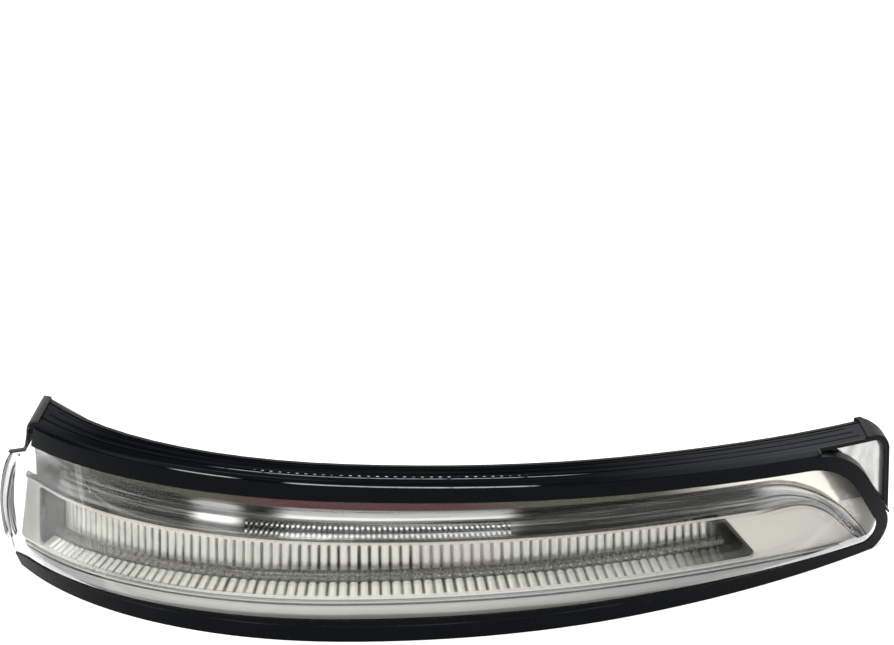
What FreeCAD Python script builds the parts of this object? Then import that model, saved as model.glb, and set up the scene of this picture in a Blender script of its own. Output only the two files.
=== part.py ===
import FreeCAD, Part
import math
import os

# Mirror turn signal lamp, in millimetres.
# X runs along the lamp, Y from the lit face towards the mirror, Z up.
# The lit face bulges towards -Y. The lamp stands on its flat lower face, and the
# origin is on that face, straight behind the nose, which is its most forward point.
# A place on the lamp is given by s, the length along the nose line, by u, the
# distance outwards from it, and by its height z.

# Plan of the nose line
NOSE_REACH = 8.0
LEFT_RADIUS = 104.0
MIDDLE_RADIUS = 178.0
RIGHT_RADIUS = 300.0
LEFT_ARC_LENGTH = 100.0
MIDDLE_ARC_LENGTH = 80.0

# Front elevation
CREST_X = -65.0
CREST_HEIGHT = 43.8
TOP_RADIUS = 1950.0
BAND_CREST_X = 17.0
BAND_HEIGHT = 6.4
BAND_RADIUS = 2200.0

# Outer lens
LENS_WALL = 2.0
LENS_DEPTH = 10.6
LENS_START = -117.0
LENS_END = 171.0
LENS_CROWN = 2.0
CREASE_CHAMFER = 0.8
FLANGE_RECESS = 1.8
GROOVE_DEPTH = 0.7
TOP_GROOVE_PLACES = (-3.4, -6.2, -9.0)
TOP_GROOVE_WIDTH = 0.7
FLANGE_START = 120.0
SKIN_DEPTH = 3.0

# Left ear of the lens
EAR_GROOVE_INSET = 2.4
EAR_GROOVE_WIDTH = 0.8
EAR_GROOVE_FOOT = 3.6
EAR_FLANGE = 1.8
EAR_TOP = 29.6
EAR_SIDE = -87.0
EAR_FALL = 0.57

# Edge seal
LOOP_START = 127.0
BAND_START = -86.0
BAND_END = 128.0
SEAL_THICKNESS = 0.9
SEAL_DROP = 1.1
SEAL_WIDTH_LEFT = 4.6
SEAL_WIDTH_MIDDLE = 3.5
SEAL_WIDTH_RIGHT = 3.3
SEAL_GAP = 0.05
FLANGE_LINE = 1.0
STEP_SKIRT = 0.7

# Housing
HOUSING_DEPTH = 27.5
HOUSING_WALL = 1.8
RIM_WIDTH = 1.3
RIM_LIP = 0.3
END_RIM = 1.0
END_LIP = 0.6
RIM_FRONT = -0.8
ROOF_DROP = 12.0
JOINT_GAP = 0.1

# Screw tabs on the back of the housing
TAB_PLACES = (-78.0, 42.0, 132.0)
TAB_WIDTH = 14.0
TAB_REACH = 12.0
TAB_THICKNESS = 3.0
TAB_HEIGHT = 8.0
TAB_HOLE = 4.4

# Connector socket
SOCKET_HEIGHT = 13.0
SOCKET_WIDTH = 12.0
SOCKET_OPENING = 8.0
SOCKET_WALL = 1.6
SOCKET_DEPTH = 10.0
SOCKET_FOOT = 2.5
PIN_SIDE = 1.0
PIN_PITCH = 3.4
PIN_REACH = 5.0
PIN_GAP = 0.1

# Foam pads on the back
PAD_PLACES = (-30.5, 62.0)
PAD_LENGTH = 13.5

# Breather
VENT_PLACE = -40.0
VENT_HEIGHT = 16.0
VENT_BORE = 4.0
VENT_BOSS = 9.0

# Bezel
BEZEL_WALL = 1.5
BEZEL_GAP = 0.3
BAR_STEP = 0.3
PLATE_STEP = 0.9
PLATE_LEAN = 0.5
COVE_TOP_DROP = 9.1
COVE_FOOT_DROP = 18.4
WINDOW_FOOT_HEIGHT = 9.9
BEZEL_SETBACK = 3.0
COVE_DEPTH = 2.6
COVE_EDGE = 6.0
WINDOW_LIP = 1.2
LUG_PLACES = (-112.0, 138.0)
LUG_WIDTH = 5.4
LUG_HEIGHT = 9.0
LUG_THICKNESS = 2.0
LUG_HOLE = -15.0
WINDOW_START = -104.4
WINDOW_FOOT_END = 111.6
WINDOW_TOP_END = 101.6
WINDOW_CORNER = 1.2

# Fluted reflector and light guide
FLUTE_PITCH = 2.85
FLUTE_DEPTH = 0.7
FLUTE_SHOULDER = 0.16
FLUTE_LAND = 0.3
FLUTE_START = -100.0
FLUTE_END = 112.0
FLUTE_SHARE = 0.92
FLUTE_OVERCUT = 0.6
TROUGH_START = -106.5
TROUGH_END = 126.0
TROUGH_WALL = 1.5
FLOOR_FRONT = -5.7
FLOOR_BACK = -9.0
TROUGH_BACK = -12.4
FLOOR_SHARE = 0.16
FLOOR_CLIMB = 0.0006
WALL_SHARE = 0.32
WALL_CLIMB = 0.0012
TROUGH_TOP_GAP = 0.7
TROUGH_FOOT_GAP = 0.2
TROUGH_DRAFT = 0.4
SEAT_DROP = 0.8
LEG_PLACES = (-74.0, 6.0, 92.0)
LEG_DEPTH = 4.0
GUIDE_RADIUS = 1.55
GUIDE_GAP = 0.15
GUIDE_START = -104.0
GUIDE_END = 114.0

# Circuit boards
BOARD_THICKNESS = 1.6
BOARD_FRONT = -10.5
BOARD_BACK = -21.0
BOARD_LIFT = 0.9
BOARD_SPANS = {"left": (-96.0, -38.0), "centre": (-30.0, 34.0), "right": (42.0, 102.0)}
LED_SIDE = 3.0
LED_HEIGHT = 0.8
LEDS_PER_BOARD = 4
LED_MARGIN = 6.0
LED_SETBACK = 0.3
SCREW_MARGIN = 8.0
SCREW_LENGTH = 7.0
HEAD_HEIGHT = 1.5
SCREW_PLAY = 0.2
SCREW_BITE = 0.05
SCREW_RADIUS = 1.2
SCREW_HEAD = 2.3
POST_RADIUS = 2.8
POST_PLACE = -18.0
SEAT_GAP = 0.05

UP = FreeCAD.Vector(0, 0, 1)
VIA = "via"
TALL = 80.0
BELOW = -1.0
LEFT_ANGLE = LEFT_ARC_LENGTH / LEFT_RADIUS
MIDDLE_ANGLE = MIDDLE_ARC_LENGTH / MIDDLE_RADIUS
SOCKET_START = HOUSING_DEPTH - HOUSING_WALL + 0.3


def heading(s):
    """Turn of the nose line from the X axis at s, in radians."""
    if s < -LEFT_ARC_LENGTH:
        return -LEFT_ANGLE
    if s < 0:
        return s / LEFT_RADIUS
    if s < MIDDLE_ARC_LENGTH:
        return s / MIDDLE_RADIUS
    return MIDDLE_ANGLE + (s - MIDDLE_ARC_LENGTH) / RIGHT_RADIUS


def along(s):
    """Direction of the nose line at s."""
    return FreeCAD.Vector(math.cos(heading(s)), math.sin(heading(s)), 0)


def outwards(s):
    """Direction from the nose line to the viewer at s."""
    return FreeCAD.Vector(math.sin(heading(s)), -math.cos(heading(s)), 0)


def arc_centre(s):
    """Centre of the plan arc that s lies on."""
    if s < 0:
        return FreeCAD.Vector(0, LEFT_RADIUS - NOSE_REACH, 0)
    middle = FreeCAD.Vector(0, MIDDLE_RADIUS - NOSE_REACH, 0)
    if s < MIDDLE_ARC_LENGTH:
        return middle
    return middle + outwards(MIDDLE_ARC_LENGTH) * (MIDDLE_RADIUS - RIGHT_RADIUS)


def spot(s, u, z):
    """Point at s along the nose line, u outside it and z high."""
    if s < -LEFT_ARC_LENGTH:
        foot = spot(-LEFT_ARC_LENGTH, 0, 0) + along(s) * (s + LEFT_ARC_LENGTH)
    elif s < 0:
        foot = arc_centre(s) + outwards(s) * LEFT_RADIUS
    elif s < MIDDLE_ARC_LENGTH:
        foot = arc_centre(s) + outwards(s) * MIDDLE_RADIUS
    else:
        foot = arc_centre(s) + outwards(s) * RIGHT_RADIUS
    return foot + outwards(s) * u + UP * z


def curve(nose, slope, crown):
    """Height that changes along the lamp, as a function of s."""
    return lambda s: nose + slope * s + crown * s * s / 1000.0


def turn_down(height, s, start, end):
    """Lets a line along the lamp curve down to nothing at its right end."""
    if s <= start:
        return height
    share = min((s - start) / (end - start), 1.0)
    return height * (1.0 - share * share) ** 0.75


def top_height(x, drop=0.0):
    """Height of the lamp's upper edge at x, less a drop."""
    return CREST_HEIGHT - TOP_RADIUS + math.sqrt(TOP_RADIUS ** 2 - (x - CREST_X) ** 2) - drop


def band_height(x):
    """Height of the upper edge of the lower band at x."""
    return BAND_HEIGHT - BAND_RADIUS + math.sqrt(BAND_RADIUS ** 2 - (x - BAND_CREST_X) ** 2)


# Heights of the lines that run along the lamp
cove_top_line = curve(top_height(0.0, COVE_TOP_DROP), -0.026, -0.19)
cove_foot_line = curve(top_height(0.0, COVE_FOOT_DROP), -0.010, -0.30)
window_foot = curve(WINDOW_FOOT_HEIGHT, 0.010, -0.35)


def cove_foot(s):
    return turn_down(cove_foot_line(s), s, 140.0, 164.0)


def cove_top(s):
    return max(turn_down(cove_top_line(s), s, 122.0, 162.5), cove_foot(s) + 0.6)


def window_top(s):
    return cove_foot(s) - WINDOW_LIP


def in_window(s, share):
    """Height at a share of the way up the lit window."""
    return window_foot(s) + share * (window_top(s) - window_foot(s))


def floor_back_line(s):
    """Back edge of the lower row of flutes, which climbs a little to the right."""
    return in_window(s, FLOOR_SHARE + FLOOR_CLIMB * s)


def wall_foot(s):
    """Foot of the upper row of flutes."""
    return in_window(s, WALL_SHARE + WALL_CLIMB * s)


def closed_wire(points, place):
    """Closed wire of lines and arcs; a point marked VIA is the middle of an arc."""
    edges = []
    for i, point in enumerate(points):
        if len(point) == 3:
            continue
        after = points[(i + 1) % len(points)]
        if len(after) == 3:
            end = points[(i + 2) % len(points)]
            edges.append(Part.Arc(place(*point), place(*after[:2]), place(*end)).toShape())
        else:
            edges.append(Part.LineSegment(place(*point), place(*after)).toShape())
    return Part.Wire(edges)


def section(s, points):
    """Wire of (u, z) points in the upright plane square to the nose line at s."""
    return closed_wire(points, lambda u, z: spot(s, u, z))


def swept(points, start, end):
    """Solid of one section carried along the nose line from start to end."""
    joints = [-LEFT_ARC_LENGTH, 0.0, MIDDLE_ARC_LENGTH]
    stops = [start] + [j for j in joints if start < j < end] + [end]
    spans = []
    for a, b in zip(stops, stops[1:]):
        face = Part.Face(section(a, points))
        middle = (a + b) / 2
        if middle < -LEFT_ARC_LENGTH:
            spans.append(face.extrude(along(middle) * (b - a)))
        else:
            turn = math.degrees(heading(b) - heading(a))
            spans.append(face.revolve(arc_centre(middle), UP, turn))
    if len(spans) == 1:
        return spans[0]
    return spans[0].multiFuse(spans[1:]).removeSplitter()


def slab(outer, inner, low, high, start, end):
    """Curved plate between two distances from the nose line."""
    return swept([(outer, low), (outer, high), (inner, high), (inner, low)], start, end)


def lofted(make_points, stations, straight=False):
    """Solid through a section that changes along the lamp, smooth or with straight spans."""
    wires = [section(s, make_points(s)) for s in stations]
    return Part.makeLoft(wires, True, straight)


def spread(start, end, count):
    """Evenly spaced values from start to end."""
    return [start + (end - start) * i / (count - 1) for i in range(count)]


def front_wire(points):
    """Closed wire in the front elevation, in front of the lamp."""
    return closed_wire(points, lambda x, z: FreeCAD.Vector(x, -TALL, z))


def prism(wire):
    """Everything behind an outline in the front elevation."""
    return Part.Face(wire).extrude(FreeCAD.Vector(0, 4 * TALL, 0))


def top_arc(start, end, drop=0.0):
    """Start, middle and end of the upper edge between two x values."""
    middle = (start + end) / 2
    return [(start, top_height(start, drop)), (middle, top_height(middle, drop), VIA),
            (end, top_height(end, drop))]


def band_arc(start, end):
    """Start, middle and end of the lower band's upper edge between two x values."""
    middle = (start + end) / 2
    return [(start, band_height(start)), (middle, band_height(middle), VIA),
            (end, band_height(end))]


def local_block(s, u, z, width, depth, height):
    """Block square to the nose line, centred on s, with its outer face at u and its foot at z."""
    corner = spot(s, u, z) - along(s) * (width / 2)
    base = Part.makePolygon([corner, corner + along(s) * width,
                             corner + along(s) * width - outwards(s) * depth,
                             corner - outwards(s) * depth, corner])
    return Part.Face(base).extrude(UP * height)


def rod(s, u, low, high, radius):
    """Upright cylinder."""
    return Part.makeCylinder(radius, high - low, spot(s, u, low), UP)


def fused(shapes):
    return shapes[0].multiFuse(shapes[1:]).removeSplitter()


def keep(name, shape):
    """Writes one piece, after taking it out of a compound of one."""
    solids = shape.Solids
    result = solids[0] if len(solids) == 1 else Part.makeCompound(solids)
    result.exportStep("parts/" + name + ".step")
    return result


# Outlines in the front elevation
LEFT_END = [(-88.5, 0.0), (-92.4, 3.4), (-94.6, 6.0), (-95.2, 15.0, VIA), (-92.0, 29.2),
            (-85.6, 33.2), (-84.4, 38.8), (-82.9, 42.5, VIA)]
TOP_START = -79.4
LENS_OUTLINE = (top_arc(TOP_START, 145.6)
                + [(148.8, 30.5, VIA), (150.1, 27.6), (150.9, 9.5), (150.4, 3.4, VIA), (146.4, 0.0)]
                + LEFT_END)
LOOP_OUTSIDE = [(136.4, 29.3, VIA), (142.8, 22.0), (149.4, 11.4), (150.4, 5.0, VIA), (146.4, 0.0)]
LOOP_INSIDE = [(142.0, 3.0), (146.6, 5.6, VIA), (145.6, 10.4), (139.2, 21.2),
               (133.3, 26.9, VIA)]
SEAL_FOOT = [(124.0, top_height(124.0, SEAL_DROP + SEAL_WIDTH_RIGHT)),
             (20.0, top_height(20.0, SEAL_DROP + SEAL_WIDTH_MIDDLE), VIA),
             (-82.4, top_height(-82.4, SEAL_DROP + SEAL_WIDTH_LEFT))]
SEAL_OUTLINE = (top_arc(-81.6, LOOP_START, SEAL_DROP) + LOOP_OUTSIDE
                + [(-88.5, 0.0), (-90.6, 2.6)] + band_arc(BAND_START, BAND_END) + LOOP_INSIDE
                + SEAL_FOOT)
FLANGE_OUTLINE = [(LOOP_START, TALL), (LOOP_START, top_height(LOOP_START, SEAL_DROP)), (136.4, 29.3, VIA),
                  (142.8, 22.0), (149.4, 11.4), (152.0, 8.5), (180.0, 8.5), (180.0, TALL)]


def inset(points, distance):
    """Front outline moved inwards by a distance, or outwards by a negative one."""
    moved = front_wire(points).makeOffset2D(-distance, 0)
    return max(moved.Wires, key=lambda wire: wire.BoundBox.DiagonalLength)


def lens_face(back, shift, low, high):
    """Section of the lens between its crowned face, moved by a shift, and a back plane."""
    middle = (top_height(0.0)) / 2
    return [(back, low), (shift, low), (shift, 0.0), (shift + LENS_CROWN, middle, VIA),
            (shift, 2 * middle), (shift, high), (back, high)]


def window_region(distance):
    """The lit part of the front elevation, inside the seal's outer edge, less a margin."""
    return prism(inset(top_arc(TOP_START, LOOP_START) + LOOP_OUTSIDE + LEFT_END, distance))


def ear_slope(margin):
    """Space behind the left ear, whose top falls away to the back, widened by a margin."""
    top = EAR_TOP - margin * 1.2
    front = -EAR_FLANGE + margin
    back = -HOUSING_DEPTH
    space = swept([(front, top), (front, TALL), (back, TALL), (back, top + EAR_FALL * (back - front))],
                  LENS_START - 9.0, -LEFT_ARC_LENGTH)
    beside = Part.makeBox(60.0, 4 * TALL, 2 * TALL, FreeCAD.Vector(EAR_SIDE + margin - 60.0, -TALL, -TALL))
    return space.common(beside)


def ear_groove():
    """Fine groove that follows the edge of the ear on the crowned face."""
    inner = EAR_GROOVE_INSET + EAR_GROOVE_WIDTH
    ring = prism(inset(LENS_OUTLINE, EAR_GROOVE_INSET)).cut(prism(inset(LENS_OUTLINE, inner)))
    start = LENS_START - 1.0
    ear = Part.makeBox(40.0, 5 * TALL, 28.0, FreeCAD.Vector(-120.0, -TALL, EAR_GROOVE_FOOT))
    skin = swept(lens_face(-SKIN_DEPTH, -GROOVE_DEPTH, BELOW, TALL), start, EAR_SIDE + 2.0)
    front = slab(SKIN_DEPTH, -SKIN_DEPTH, BELOW, TALL, start, EAR_SIDE + 2.0)
    return front.cut(skin).common(ring).common(ear)


def make_lens():
    """Clear cap: crowned face, smoked top, ends, and a recessed flange beyond the right end."""
    body = swept(lens_face(-LENS_DEPTH, 0.0, BELOW, TALL), LENS_START, LENS_END)
    body = body.common(prism(front_wire(LENS_OUTLINE)))
    body = body.cut(lofted(crease_points, spread(-100.0, 168.0, 10)))
    body = body.cut(ear_slope(0.0))
    recess = slab(8.0, -FLANGE_RECESS, BELOW, TALL, FLANGE_START, LENS_END + 1.0)
    flange = prism(front_wire(FLANGE_OUTLINE))
    body = body.cut(recess.common(flange))
    hollow = swept(lens_face(-LENS_DEPTH - 1.0, -LENS_WALL, BELOW, TALL),
                   LENS_START + LENS_WALL, LENS_END - LENS_WALL)
    body = body.cut(hollow.common(window_region(LENS_WALL)).cut(ear_slope(LENS_WALL)))
    behind = slab(-FLANGE_RECESS - LENS_WALL, -LENS_DEPTH - 1.0, BELOW, TALL, FLANGE_START,
                  LENS_END - LENS_WALL)
    flange_inside = prism(inset(LENS_OUTLINE, LENS_WALL))
    behind = behind.common(flange_inside).common(flange)
    body = body.cut(behind)
    body = body.cut(ear_groove())
    lid = prism(front_wire(top_arc(-84.0, 146.0, -SKIN_DEPTH) + list(reversed(top_arc(-84.0, 146.0, 0.5)))))
    for place in TOP_GROOVE_PLACES:
        line = slab(place, place - TOP_GROOVE_WIDTH, 20.0, TALL, -98.0, 160.0)
        body = body.cut(line.common(lid))
    return body


def crown_place(z):
    """Distance of the crowned face from the nose line at a height."""
    middle = top_height(0.0) / 2
    radius = (middle ** 2 + LENS_CROWN ** 2) / (2 * LENS_CROWN)
    rise = min(abs(z - middle), middle)
    return math.sqrt(radius ** 2 - rise ** 2) - radius + LENS_CROWN


def crease_points(s):
    """Section of the tool that takes the corner off between the face and the top."""
    top = top_height(spot(s, 0.0, 0.0).x)
    face = crown_place(top)
    reach = CREASE_CHAMFER + 1.0
    return [(face - reach, top + 1.0), (face + 1.0, top - reach), (face + 1.5, top + 1.5)]


def make_seal():
    """Black rubber frame along the top, round the right end and back under the lens."""
    middle = top_height(0.0) / 2
    gap = SEAL_GAP
    outer = gap + SEAL_THICKNESS
    strip = swept([(gap, BELOW), (gap, 0.0), (gap + LENS_CROWN, middle, VIA), (gap, 2 * middle),
                   (gap, TALL), (outer, TALL), (outer, 2 * middle),
                   (outer + LENS_CROWN, middle, VIA), (outer, 0.0), (outer, BELOW)],
                  LENS_START, LENS_END)
    strip = strip.common(prism(front_wire(SEAL_OUTLINE)))
    outline = prism(front_wire(LENS_OUTLINE))
    flange = prism(front_wire(FLANGE_OUTLINE))
    beyond = flange.copy()
    beyond.translate(FreeCAD.Vector(STEP_SKIRT, 0, 0))
    foot = gap - FLANGE_RECESS
    skirt = swept(lens_face(foot, outer, BELOW, TALL), FLANGE_START, LENS_END)
    skirt = skirt.common(flange.cut(beyond)).common(outline)
    plate = slab(foot + SEAL_THICKNESS, foot, 0.0, TALL, FLANGE_START, LENS_END).common(flange)
    top = plate.common(outline).cut(prism(inset(LENS_OUTLINE, FLANGE_LINE)))
    side = slab(foot + SEAL_THICKNESS, foot, 0.0, TALL, LENS_END - FLANGE_LINE, LENS_END)
    side = side.common(flange).common(outline)
    return fused([strip, skirt, top, side])


def bezel_points(s):
    """Section of the bezel: lower bar, plate, cove and margin, with an even wall."""
    front = -BEZEL_SETBACK
    back = front - BEZEL_WALL
    deep = -COVE_EDGE - BEZEL_WALL
    bar = front - BAR_STEP
    plate = front - PLATE_STEP
    foot = window_foot(s)
    line = foot - PLATE_STEP
    edge = cove_foot(s)
    top = cove_top(s)
    middle = (edge + top) / 2
    depth = min(COVE_DEPTH, 0.35 * (top - edge))
    rise = (COVE_EDGE + BEZEL_SETBACK + 0.6) / 2
    lip = min(WINDOW_LIP, (edge - foot) / 3)
    lean = -COVE_EDGE - PLATE_LEAN
    return [(bar, BELOW), (bar, line), (plate, line), (plate, foot), (lean, edge - lip), (-COVE_EDGE, edge),
            (-rise - depth, middle, VIA), (front - 0.6, top), (front, top + 0.4), (front, TALL),
            (back, TALL), (back, top + 1.0), (back - 0.6, top + 0.4),
            (-rise - depth - BEZEL_WALL, middle, VIA), (deep, edge - 0.4),
            (lean - BEZEL_WALL, edge - lip - 0.4), (plate - BEZEL_WALL, foot),
            (bar - BEZEL_WALL, line), (bar - BEZEL_WALL, BELOW)]


def plate_middle(s, z):
    """Place of the middle of the bezel's leaning plate at a height."""
    foot = window_foot(s)
    share = (z - foot) / (window_top(s) - foot)
    face = -BEZEL_SETBACK - PLATE_STEP
    return face + share * (-COVE_EDGE - PLATE_LEAN - face) - BEZEL_WALL / 2


def window_wire():
    """Outline of the lit window in the front elevation, with a slanted right end."""
    left = spot(WINDOW_START, -5.0, 0).x
    middle = (left + WINDOW_FOOT_END) / 2

    def at(x, line, u):
        s = min(spread(-118.0, 140.0, 1291), key=lambda value: abs(spot(value, u, 0).x - x))
        return (x, line(s))

    top = [at(left, window_top, -6.5), at(middle, window_top, -6.5) + (VIA,),
           at(WINDOW_TOP_END, window_top, -6.5)]
    foot = [at(WINDOW_FOOT_END, window_foot, -4.0), at(middle, window_foot, -4.0) + (VIA,),
            at(left, window_foot, -4.0)]
    return front_wire(top + foot)


def make_bezel():
    """Bright bezel: one long moulding with the window through it and two lugs behind."""
    stations = (spread(LENS_START + LENS_WALL + BEZEL_GAP, 117.0, 36)
                + [122.0, 128.0, 134.0, 139.0, 143.0, 147.0, 151.0, 155.0, 158.0, 161.0])
    body = lofted(bezel_points, stations, True)
    tip = slab(-BEZEL_SETBACK, -BEZEL_SETBACK - BEZEL_WALL, 0.0, TALL, stations[-1] - 0.5,
               LENS_END - LENS_WALL - BEZEL_GAP)
    body = fused([body, tip]).common(window_region(LENS_WALL + BEZEL_GAP))
    body = body.cut(ear_slope(LENS_WALL + BEZEL_GAP))
    window = prism(window_wire())
    window = window.makeFillet(WINDOW_CORNER, [e for e in window.Edges if is_along_y(e)])
    body = body.cut(window)
    lugs = []
    for place in LUG_PLACES:
        root = plate_middle(place, LUG_HEIGHT + LUG_THICKNESS / 2)
        lug = local_block(place, root, LUG_HEIGHT, LUG_WIDTH, root - LUG_HOLE + LUG_WIDTH / 2,
                          LUG_THICKNESS)
        lugs.append(lug.cut(rod(place, LUG_HOLE, 0.0, 20.0, SCREW_RADIUS + SCREW_PLAY)))
    return fused([body] + lugs)


def is_along_y(edge):
    a = edge.Vertexes[0].Point
    b = edge.Vertexes[-1].Point
    return abs(a.x - b.x) < 0.01 and abs(a.z - b.z) < 0.01 and abs(a.y - b.y) > 1.0


def trough_points(s):
    """Section of the fluted reflector: sloping floor, seat for the light guide, back wall."""
    top = window_top(s) - TROUGH_TOP_GAP
    front = window_foot(s) - TROUGH_FOOT_GAP
    seat = floor_back_line(s) - SEAT_DROP
    rear = TROUGH_BACK - TROUGH_DRAFT
    return [(FLOOR_FRONT, front), (FLOOR_BACK, floor_back_line(s)), (FLOOR_BACK, seat),
            (TROUGH_BACK, seat), (TROUGH_BACK, wall_foot(s)), (rear, top),
            (rear - TROUGH_WALL, top), (TROUGH_BACK - TROUGH_WALL, seat - TROUGH_WALL),
            (FLOOR_BACK, seat - TROUGH_WALL), (FLOOR_FRONT, front - TROUGH_WALL)]


def trough_end_points(s):
    """Section of the wall that closes each end of the trough."""
    top = window_top(s) - TROUGH_TOP_GAP
    foot = floor_back_line(s) - 2 * SEAT_DROP
    rear = TROUGH_BACK - TROUGH_DRAFT - 0.2
    return [(FLOOR_FRONT - 0.3, window_foot(s) - 0.6), (-COVE_EDGE - BEZEL_WALL - 1.0, top),
            (rear, top), (rear, foot), (FLOOR_BACK, foot)]


def flute_cutter(start, end, s):
    """Tool for one valley between two rounded flutes, along the line from start to end."""
    direction = (end - start).normalize()
    across = along(s)
    normal = direction.cross(across)
    if normal.dot(outwards(s)) < 0:
        normal = normal * -1
    half = (FLUTE_PITCH * FLUTE_SHARE - FLUTE_LAND) / 2

    def place(t, n):
        return start - direction * FLUTE_OVERCUT + across * t + normal * n

    face = Part.Face(closed_wire([(-half, 0.4), (half, 0.4), (half, 0.0),
                                  (half / 2, -FLUTE_SHOULDER), (0.0, -FLUTE_DEPTH),
                                  (-half / 2, -FLUTE_SHOULDER), (-half, 0.0)], place))
    return face.extrude(direction * ((end - start).Length + 2 * FLUTE_OVERCUT))


def make_reflector():
    """Fluted trough: two rows of rounded flutes with the light guide's seat between them."""
    body = lofted(trough_points, spread(TROUGH_START, TROUGH_END, 42), True)
    ends = [lofted(trough_end_points, [TROUGH_START, TROUGH_START + TROUGH_WALL]),
            lofted(trough_end_points, [TROUGH_END - TROUGH_WALL, TROUGH_END])]
    legs = []
    for place in LEG_PLACES:
        height = window_foot(place) - LENS_WALL - SEAT_GAP - SEAT_DROP
        legs.append(local_block(place, FLOOR_FRONT - 0.5, LENS_WALL + SEAT_GAP, TROUGH_WALL,
                                LEG_DEPTH, height))
    body = fused([body] + ends + legs)
    count = int((FLUTE_END - FLUTE_START) / FLUTE_PITCH)
    cutters = []
    for i in range(count + 1):
        s = FLUTE_START + i * FLUTE_PITCH
        cutters.append(flute_cutter(spot(s, TROUGH_BACK, wall_foot(s)),
                                    spot(s, TROUGH_BACK - TROUGH_DRAFT, window_top(s) - TROUGH_TOP_GAP), s))
        cutters.append(flute_cutter(spot(s, FLOOR_FRONT, window_foot(s) - TROUGH_FOOT_GAP),
                                    spot(s, FLOOR_BACK, floor_back_line(s)), s))
    return body.cut(Part.makeCompound(cutters))


def make_guide():
    """Clear light guide rod lying in the reflector's seat."""
    def ring(s):
        centre = spot(s, guide_place(), floor_back_line(s) - SEAT_DROP + GUIDE_GAP + GUIDE_RADIUS)
        return Part.Wire([Part.makeCircle(GUIDE_RADIUS, centre, along(s))])
    wires = [ring(s) for s in spread(GUIDE_START, GUIDE_END, 25)]
    return Part.makeLoft(wires, True, True)


def guide_place():
    return TROUGH_BACK + GUIDE_GAP + GUIDE_RADIUS


def board_height(name):
    """Underside of a board at the middle of its span."""
    start, end = BOARD_SPANS[name]
    return cove_foot((start + end) / 2) + BOARD_LIFT


def board_tilt(name, shape):
    """Tips a board, or what is on it, to the slope that the lamp has there."""
    start, end = BOARD_SPANS[name]
    middle = (start + end) / 2
    slope = (cove_foot(end) - cove_foot(start)) / (end - start)
    turned = shape.copy()
    turned.rotate(spot(middle, 0, board_height(name)), outwards(middle), math.degrees(math.atan(slope)))
    return turned


def make_board(name):
    """Circuit board that follows the lamp's plan."""
    start, end = BOARD_SPANS[name]
    low = board_height(name)
    plate = slab(BOARD_FRONT, BOARD_BACK, low, low + BOARD_THICKNESS, start, end)
    for s in screw_places(name):
        plate = plate.cut(rod(s, POST_PLACE, low - 1.0, low + 4.0, SCREW_RADIUS + SCREW_PLAY))
    return board_tilt(name, plate)


def screw_places(name):
    start, end = BOARD_SPANS[name]
    return [start + SCREW_MARGIN, end - SCREW_MARGIN]


def make_leds(name):
    """Row of LEDs on the underside of one board."""
    start, end = BOARD_SPANS[name]
    low = board_height(name) - LED_HEIGHT
    places = spread(start + LED_MARGIN, end - LED_MARGIN, LEDS_PER_BOARD)
    return [board_tilt(name, local_block(s, BOARD_FRONT - LED_SETBACK, low, LED_SIDE, LED_SIDE, LED_HEIGHT))
            for s in places]


def on_board(name, s, u, width, depth, height):
    """Component on the upper face of a board."""
    low = board_height(name) + BOARD_THICKNESS
    return board_tilt(name, local_block(s, u, low, width, depth, height))


def housing_points(s, wall):
    """Section of the back shell, moved inwards by a wall."""
    top = top_height(spot(s, -LENS_DEPTH, 0).x) + RIM_LIP - wall
    front = -LENS_DEPTH - JOINT_GAP + (0.0 if wall == 0 else 1.0)
    back = -HOUSING_DEPTH + wall
    return [(front, wall), (front, top), (-LENS_DEPTH - JOINT_GAP - RIM_WIDTH, top),
            (back + 1.5, top - ROOF_DROP + 1.5), (back, top - ROOF_DROP),
            (back, 7.0 + wall / 3), (back + 3.5 - wall / 3, wall)]


def shell_body():
    """Closed back of the housing with an even wall."""
    outer = lofted(lambda s: housing_points(s, 0.0), spread(LENS_START, LENS_END, 30), True)
    inner = lofted(lambda s: housing_points(s, HOUSING_WALL),
                   spread(LENS_START + HOUSING_WALL, LENS_END - HOUSING_WALL, 30), True)
    outer = outer.common(prism(inset(LENS_OUTLINE, -END_LIP)))
    return outer.cut(inner.common(prism(inset(LENS_OUTLINE, HOUSING_WALL - END_LIP))))


def end_rims():
    """Parts of the housing's rim that come forward round the lens at both ends."""
    outline = prism(inset(LENS_OUTLINE, -END_LIP))
    lens = prism(inset(LENS_OUTLINE, -JOINT_GAP))
    back = -LENS_DEPTH - 2.0
    left = slab(RIM_FRONT, back, EAR_TOP, TALL, LENS_START - END_RIM, -86.0).common(outline).cut(lens)
    left = left.common(Part.makeBox(40.0, 4 * TALL, TALL, FreeCAD.Vector(TOP_START - 41.0, -TALL, 0.0)))
    left = left.cut(ear_slope(0.0))
    right = slab(RIM_FRONT, back, 9.0, TALL, 150.0, LENS_END + END_RIM).common(outline)
    inside = slab(1.0, back - 1.0, 0.0, TALL, 140.0, LENS_END + JOINT_GAP)
    right = right.cut(inside.common(lens))
    right = right.common(Part.makeBox(20.0, 4 * TALL, TALL, FreeCAD.Vector(143.0, -TALL, 0.0)))
    return left.Solids + right.Solids


def end_cheeks():
    """Webs that tie the forward rims to the closed back of the housing."""
    outline = prism(inset(LENS_OUTLINE, -END_LIP))
    cheeks = []
    for start, end in ((LENS_START - END_RIM, LENS_START + 8.0), (LENS_END - 8.0, LENS_END + END_RIM)):
        plate = slab(-LENS_DEPTH - JOINT_GAP, -LENS_DEPTH - 2.5, 0.0, TALL, start, end).common(outline)
        cheeks += plate.cut(slab(-LENS_DEPTH + 1.0, -LENS_DEPTH - 4.0, HOUSING_WALL, TALL,
                                 LENS_START + HOUSING_WALL, LENS_END - HOUSING_WALL)).Solids
    return cheeks


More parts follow.
